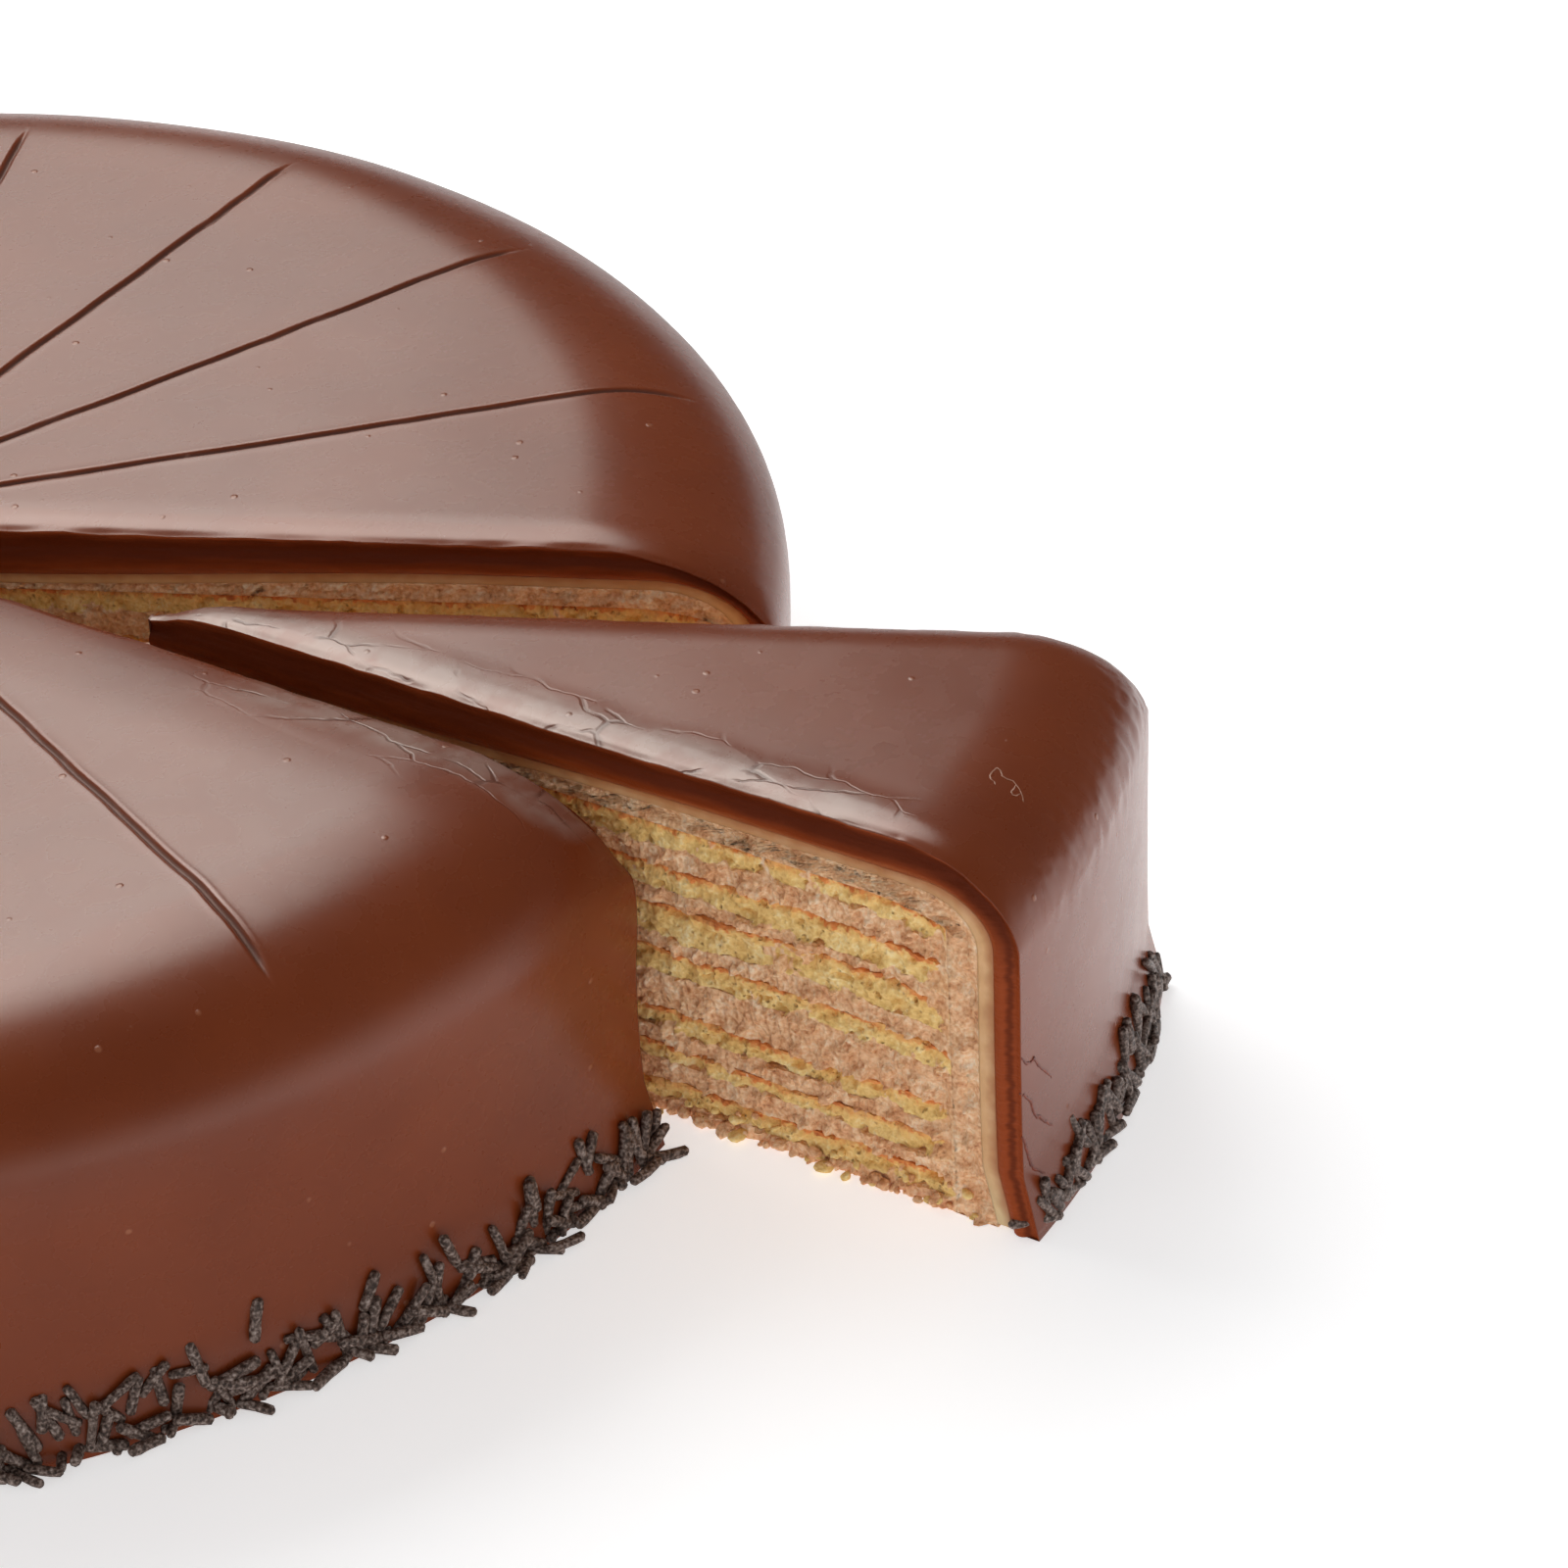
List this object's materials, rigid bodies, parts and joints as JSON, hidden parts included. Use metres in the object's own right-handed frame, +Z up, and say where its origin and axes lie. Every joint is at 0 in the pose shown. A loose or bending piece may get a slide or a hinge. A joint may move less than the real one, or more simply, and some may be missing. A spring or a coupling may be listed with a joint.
{
  "type": "prince regent torte",
  "caption": "Round many-layered chocolate-glazed torte, scored into portions, with one cut portion drawn part of the way out.",
  "frame": {"origin": "middle of the whole part's box, on the surface it stands on", "axes": "+Z up; the cut portion is drawn out towards +X and -Y"},
  "size_m": [0.3054, 0.2732, 0.058],
  "materials": {
    "glaze": "chocolate glaze, satin gloss, brown, with dark chocolate sprinkles at the foot",
    "marzipan": "pale almond paste, smooth and waxy",
    "cream": "light chocolate buttercream, dragged by the knife",
    "sponge": "yellow sponge, open crumb, browned on top"
  },
  "bodies": {
    "root": {"cake_glaze": "glaze", "cake_marzipan": "marzipan", "cake_cream_coat": "cream", "cake_sponge_1": "sponge", "cake_cream_1": "cream", "cake_sponge_2": "sponge", "cake_cream_2": "cream", "cake_sponge_3": "sponge", "cake_cream_3": "cream", "cake_sponge_4": "sponge", "cake_cream_4": "cream", "cake_sponge_5": "sponge", "cake_cream_5": "cream", "cake_sponge_6": "sponge", "cake_cream_6": "cream", "cake_sponge_7": "sponge", "cake_cream_7": "cream", "slice_glaze": "glaze", "slice_marzipan": "marzipan", "slice_cream_coat": "cream", "slice_sponge_1": "sponge", "slice_cream_1": "cream", "slice_sponge_2": "sponge", "slice_cream_2": "cream", "slice_sponge_3": "sponge", "slice_cream_3": "cream", "slice_sponge_4": "sponge", "slice_cream_4": "cream", "slice_sponge_5": "sponge", "slice_cream_5": "cream", "slice_sponge_6": "sponge", "slice_cream_6": "cream", "slice_sponge_7": "sponge", "slice_cream_7": "cream"}
  },
  "joints": []
}
